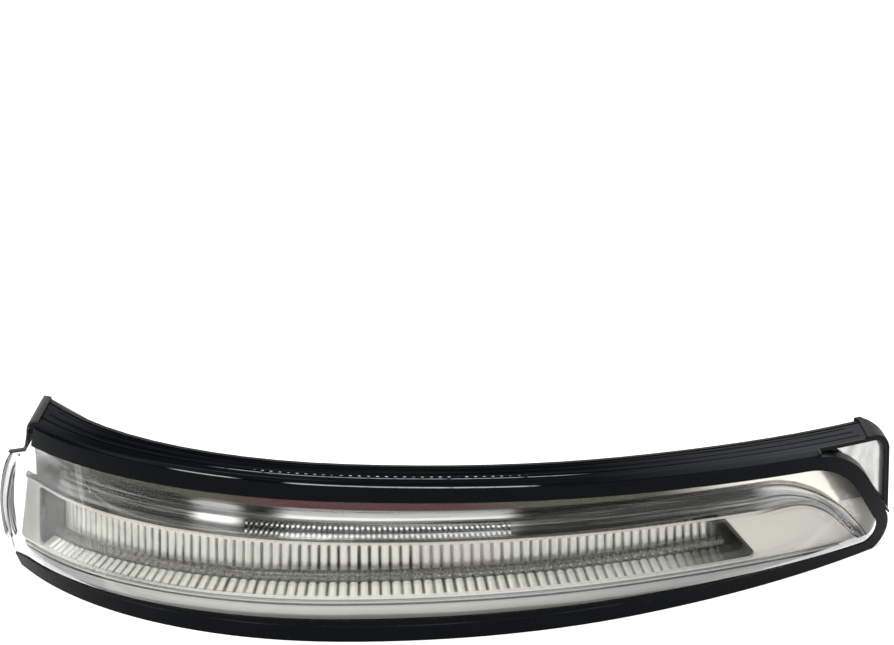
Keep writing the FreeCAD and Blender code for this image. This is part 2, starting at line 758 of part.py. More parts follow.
def screw_tab(place):
    """Tab on the back for one mounting screw, with a rib on each side."""
    reach = HOUSING_DEPTH - HOUSING_WALL / 2
    plate = local_block(place, -reach, TAB_HEIGHT, TAB_WIDTH, TAB_REACH - TAB_WIDTH / 2 + 4.0,
                        TAB_THICKNESS)
    hole_place = -reach - TAB_REACH + TAB_WIDTH / 2 - 4.0
    plate = plate.fuse(rod(place, hole_place, TAB_HEIGHT, TAB_HEIGHT + TAB_THICKNESS, TAB_WIDTH / 2))
    side = TAB_WIDTH / 2 - 0.75
    for offset in (-side, side):
        foot = spot(place, -reach, TAB_HEIGHT + TAB_THICKNESS - 0.2) + along(place) * (offset - 0.75)
        rib = Part.makePolygon([foot, foot - outwards(place) * 7.0, foot + UP * 6.0, foot])
        plate = plate.fuse(Part.Face(rib).extrude(along(place) * 1.5))
    return plate.cut(rod(place, hole_place, 0.0, 30.0, TAB_HOLE / 2))


def pin_places():
    return [-PIN_PITCH, 0.0, PIN_PITCH]


def socket_body():
    """Block of the connector socket on the back wall at the nose."""
    wide = SOCKET_WIDTH + 2 * SOCKET_WALL
    high = SOCKET_OPENING + 2 * SOCKET_WALL
    reach = SOCKET_START
    foot = local_block(0.0, -reach, SOCKET_HEIGHT - high / 2 - 2.5, wide + 5.0, SOCKET_FOOT, high + 5.0)
    tower = local_block(0.0, -reach, SOCKET_HEIGHT - high / 2, wide, SOCKET_FOOT + SOCKET_DEPTH, high)
    latch = local_block(0.0, -reach - SOCKET_FOOT - 3.0, SOCKET_HEIGHT + high / 2 - 0.2, 4.0, 3.0, 1.4)
    return foot.fuse(tower).fuse(latch)


def socket_hollow():
    reach = SOCKET_START + SOCKET_FOOT
    return local_block(0.0, -reach, SOCKET_HEIGHT - SOCKET_OPENING / 2, SOCKET_WIDTH,
                       SOCKET_DEPTH + 5.0, SOCKET_OPENING)


def make_pins(gap):
    """Bent terminals from the socket, through the wall and up to the centre board."""
    side = PIN_SIDE + 2 * gap
    reach = SOCKET_START + SOCKET_FOOT
    bend = -BOARD_BACK - 2.0
    pins = []
    for offset in pin_places():
        start = spot(0.0, -bend + side / 2 - gap, SOCKET_HEIGHT - side / 2)
        start = start + FreeCAD.Vector(offset - side / 2, 0, 0)
        level = Part.makeBox(side, reach + PIN_REACH - bend + side, side, start)
        rise = board_height("centre") - SEAT_GAP - SOCKET_HEIGHT + side / 2
        upright = Part.makeBox(side, side, rise, start)
        pins.append(level.fuse(upright).removeSplitter())
    return pins


def board_posts():
    """Posts from the floor that each board is screwed down on."""
    posts = []
    for name in BOARD_SPANS:
        low = board_height(name)
        for s in screw_places(name):
            post = rod(s, POST_PLACE, HOUSING_WALL - 0.3, TALL, POST_RADIUS)
            post = post.cut(board_tilt(name, slab(0.0, -40.0, low - SEAT_GAP, 90.0, s - 12.0, s + 12.0)))
            posts.append(post.cut(board_tilt(name, rod(s, POST_PLACE, low - 8.0, low + 3.0,
                                                       SCREW_RADIUS + SCREW_BITE))))
    return posts


def lug_posts():
    """Posts that the bezel's lugs are screwed down on."""
    posts = []
    for s in LUG_PLACES:
        post = rod(s, LUG_HOLE, HOUSING_WALL - 0.3, LUG_HEIGHT - SEAT_GAP, LUG_WIDTH / 2)
        posts.append(post.cut(rod(s, LUG_HOLE, HOUSING_WALL, 20.0, SCREW_RADIUS + SCREW_BITE)))
    return posts


def make_housing():
    """Back shell with its rims, screw tabs, posts, vent boss and connector socket."""
    shapes = [shell_body()] + end_rims() + end_cheeks()
    shapes += [screw_tab(place) for place in TAB_PLACES]
    shapes += [socket_body()] + board_posts()
    vent = spot(VENT_PLACE, -HOUSING_DEPTH + HOUSING_WALL / 2, VENT_HEIGHT)
    shapes.append(Part.makeCylinder(VENT_BOSS / 2, 4.0, vent, outwards(VENT_PLACE) * -1))
    body = fused(shapes)
    body = body.cut(socket_hollow())
    body = body.cut(Part.makeCompound(make_pins(PIN_GAP)))
    start = spot(VENT_PLACE, -HOUSING_DEPTH + 5.0, VENT_HEIGHT)
    return body.cut(Part.makeCylinder(VENT_BORE / 2, 20.0, start, outwards(VENT_PLACE) * -1))


def make_vent():
    """Rubber breather plug pushed into the vent boss."""
    base = spot(VENT_PLACE, -HOUSING_DEPTH + HOUSING_WALL / 2, VENT_HEIGHT) + outwards(VENT_PLACE) * -4.05
    inwards = outwards(VENT_PLACE) * -1
    cap = Part.makeCylinder(VENT_BOSS / 2 - 0.4, 1.6, base, inwards)
    stem = Part.makeCylinder(VENT_BORE / 2 - 0.05, 3.0, base - inwards * 3.0, inwards)
    return cap.fuse(stem).removeSplitter()


def make_socket_seal():
    """Rubber frame on the socket's foot, where the mirror's wall presses on it."""
    reach = SOCKET_START + SOCKET_FOOT + SEAT_GAP
    wide = SOCKET_WIDTH + 2 * SOCKET_WALL
    high = SOCKET_OPENING + 2 * SOCKET_WALL
    ring = local_block(0.0, -reach, SOCKET_HEIGHT - high / 2 - 2.2, wide + 4.4, 1.8, high + 4.4)
    return ring.cut(local_block(0.0, -reach + 1.0, SOCKET_HEIGHT - high / 2 - 0.1, wide + 0.2, 6.0,
                                high + 0.2))


def make_board_screws():
    """Pan head screws that hold the boards on their posts."""
    screws = []
    for name in BOARD_SPANS:
        low = board_height(name)
        for s in screw_places(name):
            top = low + BOARD_THICKNESS + SEAT_GAP
            head = rod(s, POST_PLACE, top, top + HEAD_HEIGHT, SCREW_HEAD)
            shank = rod(s, POST_PLACE, top - SCREW_LENGTH, top + 0.1, SCREW_RADIUS)
            screws.append(board_tilt(name, head.fuse(shank).removeSplitter()))
    return screws


def make_lug_screws():
    """Screws that hold the bezel's lugs on the housing."""
    screws = []
    for s in LUG_PLACES:
        top = LUG_HEIGHT + LUG_THICKNESS + SEAT_GAP
        head = rod(s, LUG_HOLE, top, top + HEAD_HEIGHT, SCREW_HEAD)
        shank = rod(s, LUG_HOLE, top - SCREW_LENGTH, top + 0.1, SCREW_RADIUS)
        screws.append(head.fuse(shank).removeSplitter())
    return screws


def make_links():
    """Flexible jumpers that join neighbouring boards."""
    links = []
    names = list(BOARD_SPANS)
    for a, b in zip(names, names[1:]):
        start = BOARD_SPANS[a][1]
        end = BOARD_SPANS[b][0]
        first = top_of_board(a, start - 1.5)
        last = top_of_board(b, end + 1.5)

        def points(s, start=start, end=end, first=first, last=last):
            share = (s - start + 1.5) / (end - start + 3.0)
            low = first + (last - first) * share + 1.2 * math.sin(math.pi * share) + SEAT_GAP
            return [(-12.5, low), (-12.5, low + 0.4), (-16.0, low + 0.4), (-16.0, low)]
        links.append(lofted(points, spread(start - 1.5, end + 1.5, 6)))
    return links


def top_of_board(name, s):
    """Height of a board's upper face at s."""
    start, end = BOARD_SPANS[name]
    slope = (cove_foot(end) - cove_foot(start)) / (end - start)
    return board_height(name) + BOARD_THICKNESS + slope * (s - (start + end) / 2)


def make_pads():
    """Foam pads on the back, where the lamp bears on the mirror's frame."""
    return [slab(-HOUSING_DEPTH - JOINT_GAP, -HOUSING_DEPTH - 3.0, 12.0, 20.0, s, s + PAD_LENGTH)
            for s in PAD_PLACES]


def main():
    os.makedirs("parts", exist_ok=True)
    keep("outer_lens", make_lens())
    keep("edge_seal", make_seal())
    keep("housing", make_housing())
    keep("bezel", make_bezel())
    keep("flute_reflector", make_reflector())
    keep("light_guide", make_guide())
    for name in BOARD_SPANS:
        keep("board_" + name, make_board(name))
        keep("leds_" + name, Part.makeCompound(make_leds(name)))
    middle = BOARD_FRONT - 5.0
    chips = {
        "driver_chip": [on_board("centre", -10.0, middle, 5.0, 4.0, 1.2)],
        "diode": [on_board("centre", 16.0, middle, 4.2, 2.6, 1.6)],
        "capacitor": [on_board("centre", 9.0, middle + 1.0, 3.2, 2.6, 1.8)],
        "resistors": [on_board(name, s, -12.0, 3.0, 1.6, 0.6)
                      for name, places in (("left", (-78.0, -66.0, -54.0)), ("centre", (-16.0, 2.0)),
                                           ("right", (60.0, 72.0, 84.0))) for s in places]}
    for name, solids in chips.items():
        keep(name, Part.makeCompound(solids))
    keep("board_links", Part.makeCompound(make_links()))
    keep("terminals", Part.makeCompound(make_pins(0.0)))
    keep("socket_seal", make_socket_seal())
    keep("vent_plug", make_vent())
    keep("board_screws", Part.makeCompound(make_board_screws()))
    keep("bezel_screws", Part.makeCompound(make_lug_screws()))
    keep("foam_pads", Part.makeCompound(make_pads()))


main()
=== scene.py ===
"""Looks of a mirror turn signal lamp.

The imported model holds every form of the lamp. The classes here give its nodes their
finishes, and set up the photograph's camera, floor and lights. The scene is in metres;
the plan, the height lines and the patterns of the finishes are in millimetres. X runs
along the lamp, Y from the lit face into the mirror and Z up. A place on the lamp is
given as on its drawing: s along the nose line, u outwards from it, and the height z.
"""

import logging
import math
from dataclasses import dataclass
from enum import Enum
from typing import Union

import bpy
from mathutils import Matrix, Vector

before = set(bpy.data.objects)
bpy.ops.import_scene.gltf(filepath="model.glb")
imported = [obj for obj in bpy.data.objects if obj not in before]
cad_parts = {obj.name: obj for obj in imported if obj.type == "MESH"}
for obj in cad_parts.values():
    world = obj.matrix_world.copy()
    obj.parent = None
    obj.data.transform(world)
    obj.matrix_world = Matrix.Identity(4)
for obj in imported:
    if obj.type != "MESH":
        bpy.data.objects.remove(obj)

Triple = tuple[float, float, float]
Socket = bpy.types.NodeSocket
Term = Union["Value", float]
Fill = Union["Value", Socket, float, Triple]

LOG = logging.getLogger("mirror_lamp")
MM = 0.001
PHOTO_WIDTH = 894
WHITE = (1.0, 1.0, 1.0)
FLUTE_PITCH = 2.85


class Zone(Enum):
    """Stretches of the nose line, each an arc of its own in plan."""

    LEFT = "left"
    MIDDLE = "middle"
    RIGHT = "right"


class Stretch(Enum):
    """Stretches of the cove, each with a pattern of its own."""

    WHOLE = "whole"
    LEFT = "left"
    BLOB = "blob"
    DOTTED = "dotted"
    MIDDLE = "middle"
    DIP = "dip"
    RIGHT = "right"


@dataclass(frozen=True)
class LampPlan:
    """Plan curve of the nose line, and the upper edge and the seal's loop, in mm."""

    nose_reach: float = 8.0
    left_radius: float = 104.0
    middle_radius: float = 178.0
    right_radius: float = 300.0
    middle_length: float = 80.0
    crest_height: float = 43.8
    crest_x: float = -65.0
    crest_fall: float = 1.0 / 3900.0
    loop_x: float = 136.4
    loop_height: float = 29.3
    loop_slope: float = 1.006
    loop_curve: float = 0.021

    @property
    def middle_angle(self) -> float:
        """Turn of the middle arc, in radians."""
        return self.middle_length / self.middle_radius

    def centre(self, zone: Zone) -> tuple[float, float]:
        """Centre of a zone's arc in plan.

        Args:
            zone: the left, middle or right zone.

        Returns:
            Its x and y in mm.
        """
        if zone is Zone.LEFT:
            return 0.0, self.left_radius - self.nose_reach
        if zone is Zone.MIDDLE:
            return 0.0, self.middle_radius - self.nose_reach
        shift = self.right_radius - self.middle_radius
        return (-shift * math.sin(self.middle_angle),
                self.middle_radius - self.nose_reach + shift * math.cos(self.middle_angle))

    def crest(self, x: Term) -> Term:
        """Height of the lamp's upper edge at x."""
        away = x - self.crest_x
        return self.crest_height - away * away * self.crest_fall

    def loop(self, x: Term) -> Term:
        """Height of the seal's loop at x, near the right end."""
        away = x - self.loop_x
        return self.loop_height - away * self.loop_slope - away * away * self.loop_curve


@dataclass(frozen=True)
class HeightLine:
    """A line along the lamp whose height is a parabola of s, in mm."""

    nose: float
    slope: float
    crown: float

    def at(self, s: Term) -> Term:
        """Height at s."""
        return self.nose + s * self.slope + s * s * (self.crown * MM)


PLAN = LampPlan()
COVE_TOP = HeightLine(33.6, -0.026, -0.19)
COVE_FOOT = HeightLine(24.3, -0.010, -0.30)
WINDOW_FOOT = HeightLine(9.9, 0.010, -0.35)
FLOOR_BACK = HeightLine(12.0, 0.015, -0.35)


class Value:
    """A shader socket that takes Python's arithmetic."""

    def __init__(self, graph: "Graph", socket: Socket) -> None:
        """Keeps the socket and the graph it belongs to."""
        self.graph = graph
        self.socket = socket

    def __add__(self, other: Term) -> "Value":
        """Sum."""
        return self.graph.math("ADD", self, other)

    __radd__ = __add__

    def __sub__(self, other: Term) -> "Value":
        """Difference."""
        return self.graph.math("SUBTRACT", self, other)

    def __rsub__(self, other: Term) -> "Value":
        """Difference from the other side."""
        return self.graph.math("SUBTRACT", other, self)

    def __mul__(self, other: Term) -> "Value":
        """Product."""
        return self.graph.math("MULTIPLY", self, other)

    __rmul__ = __mul__

    def __truediv__(self, other: Term) -> "Value":
        """Quotient."""
        return self.graph.math("DIVIDE", self, other)


class Graph:
    """Fills a shader tree with nodes."""

    showing_rays: tuple[str, ...] = ("Is Camera Ray", "Is Glossy Ray", "Is Transmission Ray")

    def __init__(self, tree: bpy.types.NodeTree, output: str) -> None:
        """Empties a tree and gives it an output node.

        Args:
            tree: the tree to fill.
            output: type of its output node, without the ShaderNode prefix.
        """
        self.tree = tree
        self.tree.nodes.clear()
        self.output = self.node(output)

    def node(self, kind: str, settings: dict | None = None,
             inputs: dict | None = None) -> bpy.types.Node:
        """Adds a node.

        Args:
            kind: the node's type, without its ShaderNode prefix.
            settings: properties to set first.
            inputs: values or links by socket name or number.

        Returns:
            The new node.
        """
        made = self.tree.nodes.new("ShaderNode" + kind)
        for key, value in (settings or {}).items():
            setattr(made, key, value)
        for key, value in (inputs or {}).items():
            self.feed(made.inputs[key], value)
        return made

    def feed(self, socket: Socket, value: Fill) -> None:
        """Links a value to a socket, or sets it.

        Args:
            socket: input to fill.
            value: a Value, a socket, a number or a colour.
        """
        if isinstance(value, Value):
            self.tree.links.new(value.socket, socket)
        elif isinstance(value, Socket):
            self.tree.links.new(value, socket)
        elif socket.type == "RGBA":
            socket.default_value = (*value, 1.0)
        else:
            socket.default_value = value

    def math(self, operation: str, *values: Term) -> Value:
        """One Math node on values."""
        made = self.node("Math", {"operation": operation}, dict(enumerate(values)))
        return Value(self, made.outputs[0])

    def showing(self) -> Value:
        """Mask of the rays that show a surface to the camera.

        Returns:
            1 for rays that come straight, in a gloss or through glass, 0 for others.
        """
        rays = self.node("LightPath").outputs
        camera, glossy, through = (Value(self, rays[name]) for name in self.showing_rays)
        return self.math("MAXIMUM", self.math("MAXIMUM", camera, glossy), through)

    def blend(self, factor: Fill, first: Socket, second: Socket) -> Socket:
        """Mix of two shaders, the second one's share given by the factor."""
        return self.node("MixShader", inputs={0: factor, 1: first, 2: second}).outputs[0]

    def close(self, shader: Socket) -> None:
        """Links a shader to the output."""
        self.tree.links.new(shader, self.output.inputs["Surface"])


class Paint(Graph):
    """Builds one procedural material."""

    def __init__(self, name: str) -> None:
        """Starts a material with an output node only.

        Args:
            name: name of the material.
        """
        self.material = bpy.data.materials.new(name)
        self.material.use_nodes = True
        super().__init__(self.material.node_tree, "OutputMaterial")
        self._place: Value | None = None

    def clamp(self, value: Term) -> Value:
        """The value held between 0 and 1."""
        return Value(self, self.node("Clamp", inputs={"Value": value}).outputs[0])

    def step(self, value: Term, low: Term, high: Term) -> Value:
        """Smooth step of a value.

        Args:
            value: what rises.
            low: where the result is 0.
            high: where the result is 1.

        Returns:
            A value from 0 to 1.
        """
        made = self.node("MapRange", {"interpolation_type": "SMOOTHSTEP"},
                         {"Value": value, "From Min": low, "From Max": high})
        return Value(self, made.outputs["Result"])

    def cell(self, value: Value, pitch: float) -> Value:
        """Place within a repeated cell.

        Args:
            value: what repeats.
            pitch: length of a cell.

        Returns:
            A value from -0.5 to 0.5.
        """
        return self.math("FRACT", value / pitch) - 0.5

    def mix(self, factor: Term, first: Fill, second: Fill) -> Socket:
        """Mix of two colours.

        Args:
            factor: share of the second colour.
            first: colour where the factor is 0.
            second: colour where it is 1.

        Returns:
            The mixed colour.
        """
        made = self.node("Mix", {"data_type": "RGBA"})
        self.feed(made.inputs["Factor"], factor)
        for name, value in (("A", first), ("B", second)):
            self.feed(next(s for s in made.inputs if s.name == name and s.type == "RGBA"), value)
        return next(s for s in made.outputs if s.type == "RGBA")

    def place(self) -> Value:
        """Object coordinates as a vector."""
        if self._place is None:
            self._place = Value(self, self.node("TexCoord").outputs["Object"])
        return self._place

    def parts(self) -> tuple[Value, ...]:
        """Object coordinates in mm, one value each."""
        split = self.node("SeparateXYZ", inputs={0: self.place()})
        return tuple(Value(self, socket) * (1.0 / MM) for socket in split.outputs)

    def vector(self, x: Term, y: Term, z: Term) -> Socket:
        """Vector of three values."""
        return self.node("CombineXYZ", inputs={0: x, 1: y, 2: z}).outputs[0]

    def noise(self, vector: Fill, scale: float, detail: float = 2.0, rough: float = 0.5) -> Value:
        """Noise from about 0 to 1.

        Args:
            vector: where it is read.
            scale: how fine it is.
            detail: number of finer layers.
            rough: weight of the finer layers.

        Returns:
            The noise.
        """
        made = self.node("TexNoise", inputs={"Vector": vector, "Scale": scale, "Detail": detail,
                                             "Roughness": rough})
        return Value(self, made.outputs["Fac"])

    def bump(self, height: Term, strength: float, distance: float) -> Socket:
        """Normal from a height.

        Args:
            height: a value from 0 to 1.
            strength: share of the effect.
            distance: depth in metres.

        Returns:
            The normal.
        """
        return self.node("Bump", inputs={"Height": height, "Strength": strength,
                                         "Distance": distance}).outputs[0]

    def principled(self, inputs: dict) -> Socket:
        """A Principled shader."""
        return self.node("BsdfPrincipled", inputs=inputs).outputs[0]

    def finish(self, shader: Socket) -> bpy.types.Material:
        """Closes the tree with a shader and gives the material."""
        self.close(shader)
        return self.material

    def along_lamp(self) -> tuple[Value, Value, Value]:
        """Place on the lamp.

        Returns:
            s, u and z in mm.
        """
        x, y, z = self.parts()
        found = {}
        for zone, radius, start, angle in (
                (Zone.LEFT, PLAN.left_radius, 0.0, 0.0),
                (Zone.MIDDLE, PLAN.middle_radius, 0.0, 0.0),
                (Zone.RIGHT, PLAN.right_radius, PLAN.middle_length, PLAN.middle_angle)):
            centre_x, centre_y = PLAN.centre(zone)
            across = x - centre_x
            ahead = centre_y - y
            turn = self.math("ARCTAN2", across, ahead)
            reach = self.math("SQRT", across * across + ahead * ahead)
            found[zone] = ((turn - angle) * radius + start, reach - radius)
        right_side = self.math("GREATER_THAN", x, 0.0)
        far = self.math("GREATER_THAN", found[Zone.MIDDLE][0], PLAN.middle_length)
        s, u = (left + (middle + (right - middle) * far - left) * right_side
                for left, middle, right in zip(*(found[zone] for zone in Zone)))
        return s, u, z


@dataclass(frozen=True)
class Rise:
    """Smooth rise from 0 at the low value to 1 at the high one."""

    low: float
    high: float

    def of(self, value: Value) -> Value:
        """The rise at a value."""
        return value.graph.step(value, self.low, self.high)


@dataclass(frozen=True)
class Fall(Rise):
    """Smooth fall from 1 at the low value to 0 at the high one."""

    def of(self, value: Value) -> Value:
        """The fall at a value."""
        return 1.0 - super().of(value)


@dataclass(frozen=True)
class Reach:
    """1 between two values and 0 outside them, with soft ends."""

    low: float
    high: float
    soft: float

    def of(self, value: Value) -> Value:
        """The reach at a value."""
        into = Rise(self.low - self.soft, self.low + self.soft).of(value)
        return into * Fall(self.high - self.soft, self.high + self.soft).of(value)


@dataclass(frozen=True)
class Tone:
    """A rise, fall or reach, and the share that it adds."""

    shape: Rise | Reach
    share: float

    def of(self, value: Value) -> Value:
        """What it adds at a value."""
        return self.shape.of(value) * self.share


@dataclass(frozen=True)
class Slope:
    """Straight line of a value."""

    gain: float
    base: float

    def of(self, value: Value) -> Value:
        """The line at a value."""
        return value * self.gain + self.base


@dataclass(frozen=True)
class Grain:
    """Noise that is stretched by a factor of its own along each of two values."""

    along: float
    across: float
    seed: float
    detail: float = 2.0
    rough: float = 0.5

    def of(self, along: Value, across: Term = 1.0) -> Value:
        """The noise at two values, or along one.

        Args:
            along: value that the first factor stretches.
            across: value that the second one stretches.

        Returns:
            A value from about 0 to 1.
        """
        paint = along.graph
        place = paint.vector(along * self.along, across * self.across, self.seed)
        return paint.noise(place, 1.0, self.detail, self.rough)

    def sway(self, along: Value, across: Term = 1.0) -> Value:
        """The noise less its mean, from about -0.5 to 0.5."""
        return self.of(along, across) - 0.5


@dataclass(frozen=True)
class EarLines:
    """Painted shade of the clear left ear: dark lines along its edge and groove, with grey
    margins, in mm from its edge.
    """

    edge_x: float = -95.35
    edge_height: float = 13.5
    edge_curve: float = 0.0148
    above_flange: Rise = Rise(2.0, 4.0)
    outer_skin: Rise = Rise(-2.4, -1.8)
    below_top: Fall = Fall(30.0, 31.0)
    edge: Reach = Reach(-0.5, 0.3, 0.15)
    groove: Reach = Reach(2.5, 2.95, 0.12)
    edge_margin: Reach = Reach(0.3, 0.9, 0.3)
    groove_margin: Reach = Reach(1.9, 2.5, 0.3)
    margin_share: float = 0.55

    def draw(self, paint: Paint, x: Value, u: Value, z: Value) -> tuple[Value, Value]:
        """Masks of the painted shade lines.

        Args:
            paint: the material in work.
            x: place along X.
            u: distance outwards from the nose line.
            z: height.

        Returns:
            The dark lines alone, and the lines with their margins.
        """
        away = z - self.edge_height
        inside = x - (away * away * self.edge_curve + self.edge_x)
        low = self.above_flange.of(z)
        skin = self.outer_skin.of(u) * self.below_top.of(z) * low
        line = paint.clamp(self.edge.of(inside) * low + self.groove.of(inside) * skin)
        margin = self.edge_margin.of(inside) + self.groove_margin.of(inside)
        return line, paint.clamp(margin * skin * self.margin_share + line)


@dataclass(frozen=True)
class PaintedTopWall:
    """Dark top wall of the lens: the black housing and its painted shade seen through, threads of
    painted reflection, a row of painted reflected dots and two painted highlight lines.
    """

    # dark of the black housing and its shade seen through the clear top, painted onto it
    housing_dark_and_shade: Triple = (0.004, 0.005, 0.006)
    reflection_grey: Triple = (0.06, 0.062, 0.064)
    painted_light: Triple = (0.985, 0.988, 0.98)
    roughness: float = 0.25
    thread: Grain = Grain(0.012, 1.9, 2.0, 3.0, 0.6)
    thread_reflection: Tone = Tone(Rise(0.5, 0.72), 0.35)
    right_reflection: Tone = Tone(Rise(52.0, 150.0), 0.75)
    left_reflection: Tone = Tone(Fall(-100.0, -66.0), 0.25)
    dot_pitch: float = 2.3
    dot_row: float = -4.4
    dot_squash: float = 0.8
    dot_stray: Grain = Grain(0.5, 3.0, 5.0)
    dot_wander: float = 0.5
    dot_edge: Fall = Fall(0.012, 0.05)
    dot_kept: Rise = Rise(0.35, 0.6)
    dot_reach: Reach = Reach(-21.0, 48.0, 2.0)
    dot_share: float = 0.7
    gap: Grain = Grain(0.3, 1.0, 7.0)
    gap_edge: Rise = Rise(0.3, 0.5)
    glint_row: Reach = Reach(-1.35, -0.95, 0.15)
    glint_skin: Rise = Rise(-1.6, -1.2)
    glint_left: Reach = Reach(-42.0, -26.0, 3.0)
    glint_right: Reach = Reach(-12.0, 50.0, 2.0)
    glint_gaps: Slope = Slope(0.5, 0.5)
    faint_row: Reach = Reach(-3.3, -2.9, 0.15)
    faint_reach: Reach = Reach(-30.0, 62.0, 6.0)
    faint_share: float = 0.3

    def dots(self, paint: Paint, s: Value, u: Value) -> Value:
        """Row of small bright dots, painted reflections of the flutes' ends.

        Args:
            paint: the material in work.
            s: place along the nose line.
            u: distance outwards from it.

        Returns:
            1 in a dot and 0 outside.
        """
        stray = self.dot_stray.of(s)
        along = paint.cell(s, self.dot_pitch)
        across = (u - self.dot_row) * self.dot_squash + (stray - 0.5) * self.dot_wander
        return self.dot_edge.of(along * along + across * across) * self.dot_kept.of(stray)

    def shader(self, paint: Paint, s: Value, u: Value, drop: Value) -> Socket:
        """The top wall's shader.

        Args:
            paint: the material in work.
            s: place along the nose line.
            u: distance outwards from it.
            drop: height over the upper edge.

        Returns:
            The shader.
        """
        # painted reflection: grey where the top wall reflects, in threads and lighter towards
        # both ends
        reflecting = self.right_reflection.of(s) + self.thread_reflection.of(self.thread.of(s, u))
        reflecting = paint.clamp(reflecting + self.left_reflection.of(s))
        # painted highlights: two glint lines broken in gaps, a faint line and a row of reflected
        # dots
        kept = self.gap_edge.of(self.gap.of(s))
        glint = self.glint_left.of(s) + self.glint_right.of(s) * self.glint_gaps.of(kept)
        glint = self.glint_row.of(drop) * self.glint_skin.of(u) * glint
        faint_highlight = self.faint_row.of(u) * self.faint_reach.of(s) * kept * self.faint_share
        dots = self.dots(paint, s, u) * self.dot_reach.of(s) * self.dot_share
        colour = paint.mix(reflecting, self.housing_dark_and_shade, self.reflection_grey)
        colour = paint.mix(paint.clamp(dots + glint + faint_highlight), colour, self.painted_light)
        return paint.principled({"Base Color": colour, "Roughness": self.roughness,
                                 "Specular IOR Level": 0.0})


@dataclass(frozen=True)
class FlangeReflection:
    """Cloudy painted silver reflection behind the lens's right flange."""

    reflection_light: Triple = (0.72, 0.72, 0.69)
    reflection_dull: Triple = (0.36, 0.36, 0.34)
    metallic: float = 0.6
    roughness: float = 0.22
    cloud: Grain = Grain(0.35, 0.12, 0.0, 3.0)
    contrast: Slope = Slope(2.4, -0.9)
    over_loop: Rise = Rise(0.0, 0.3)
    right: Rise = Rise(127.0, 130.0)
    below_crest: Fall = Fall(-1.6, -1.2)
    outer_skin: Rise = Rise(-5.0, -4.6)

    def mask(self, x: Value, u: Value, z: Value, drop: Value) -> Value:
        """Where it lies.

        Args:
            x: place along X.
            u: distance outwards from the nose line.
            z: height.
            drop: height over the upper edge.

        Returns:
            1 on the silver and 0 off it.
        """
        beyond = self.over_loop.of(z - PLAN.loop(x)) * self.right.of(x)
        return beyond * self.below_crest.of(drop) * self.outer_skin.of(u)

    def shader(self, paint: Paint, x: Value, z: Value) -> Socket:
        """The painted silver reflection's shader.

        Args:
            paint: the material in work.
            x: place along X.
            z: height.

        Returns:
            The shader.
        """
        cloud = paint.clamp(self.contrast.of(self.cloud.of(x, z)))
        return paint.principled({"Base Color": paint.mix(cloud, self.reflection_light, self.reflection_dull),
                                 "Metallic": self.metallic, "Roughness": self.roughness})


@dataclass(frozen=True)
class ClearAcrylic:
    """Clear moulded acrylic; its top wall painted dark with the black housing and its shade seen
    through, with painted reflections and highlights, and a painted silver reflection behind its
    right flange.
    """

    tint: Triple = (0.985, 0.988, 0.98)
    # edge and pale: colours of the painted shade lines and margins on the left ear
    edge: Triple = (0.035, 0.037, 0.035)
    pale: Triple = (0.5, 0.505, 0.48)
    roughness: float = 0.015
    index: float = 1.22
    body: float = 0.12
    line_roughness: float = 0.3
    line_specular: float = 0.1
    top_edge: Rise = Rise(-2.15, -1.95)
    ear: EarLines = EarLines()
    top: PaintedTopWall = PaintedTopWall()
    flange_reflection: FlangeReflection = FlangeReflection()

    def clear(self, paint: Paint, x: Value, u: Value, z: Value) -> Socket:
        """Clear walls, with the painted shade lines of the left ear.

        Args:
            paint: the material in work.
            x: place along X.
            u: distance outwards from the nose line.
            z: height.

        Returns:
            The shader.
        """
        line, edge_shade_share = self.ear.draw(paint, x, u, z)
        glass = paint.principled({
            "Base Color": self.tint, "Roughness": self.roughness, "IOR": self.index,
            "Transmission Weight": 1.0, "Alpha": self.body})
        # painted shade of the clear ear's edge and groove
        painted_edge_shade = paint.principled({
            "Base Color": paint.mix(line, self.pale, self.edge),
            "Roughness": self.line_roughness, "Specular IOR Level": self.line_specular})
        open_path = paint.node("BsdfTransparent", inputs={"Color": self.tint}).outputs[0]
        shadow = paint.node("LightPath").outputs["Is Shadow Ray"]
        return paint.blend(shadow, paint.blend(edge_shade_share, glass, painted_edge_shade), open_path)

    def material(self, name: str) -> bpy.types.Material:
        """The finish as a material.

        Args:
            name: name of the material.

        Returns:
            The material.
        """
        paint = Paint(name)
        x, _, _ = paint.parts()
        s, u, z = paint.along_lamp()
        drop = z - PLAN.crest(x)
        # the top wall takes its painted shade, reflections and highlights
        walls = paint.blend(self.top_edge.of(drop), self.clear(paint, x, u, z),
                            self.top.shader(paint, s, u, drop))
        # painted silver reflection on the right flange
        beyond = self.flange_reflection.mask(x, u, z, drop)
        return paint.finish(paint.blend(beyond, walls, self.flange_reflection.shader(paint, x, z)))


@dataclass(frozen=True)
class EdgeRubber:
    """Glossy black rubber with a faint painted highlight line along its lower band."""

    black: Triple = (0.0025, 0.0036, 0.0045)
    faint_highlight: Triple = (0.03, 0.032, 0.035)
    specular: float = 0.05
    # where the painted highlight line runs, broken by noise
    line: Reach = Reach(4.35, 4.65, 0.12)
    painted_light_noise: Grain = Grain(0.05, 0.5, 0.0, 3.0)
    highlight_breaks: Rise = Rise(0.38, 0.62)
    grain_scale: float = 700.0
    grain_gloss: Slope = Slope(0.12, 0.2)
    grain_strength: float = 0.3
    grain_depth: float = 0.000004

    def material(self, name: str) -> bpy.types.Material:
        """The finish as a material.

        Args:
            name: name of the material.

        Returns:
            The material.
        """
        paint = Paint(name)
        s, _, z = paint.along_lamp()
        # painted highlight line along the lower band
        line = self.line.of(z) * self.highlight_breaks.of(self.painted_light_noise.of(s, z))
        fine = paint.noise(paint.place(), self.grain_scale)
        return paint.finish(paint.principled({
            "Base Color": paint.mix(line, self.black, self.faint_highlight),
            "Roughness": paint.clamp(self.grain_gloss.of(fine)),
            "Specular IOR Level": self.specular,
            "Normal": paint.bump(fine, self.grain_strength, self.grain_depth)}))


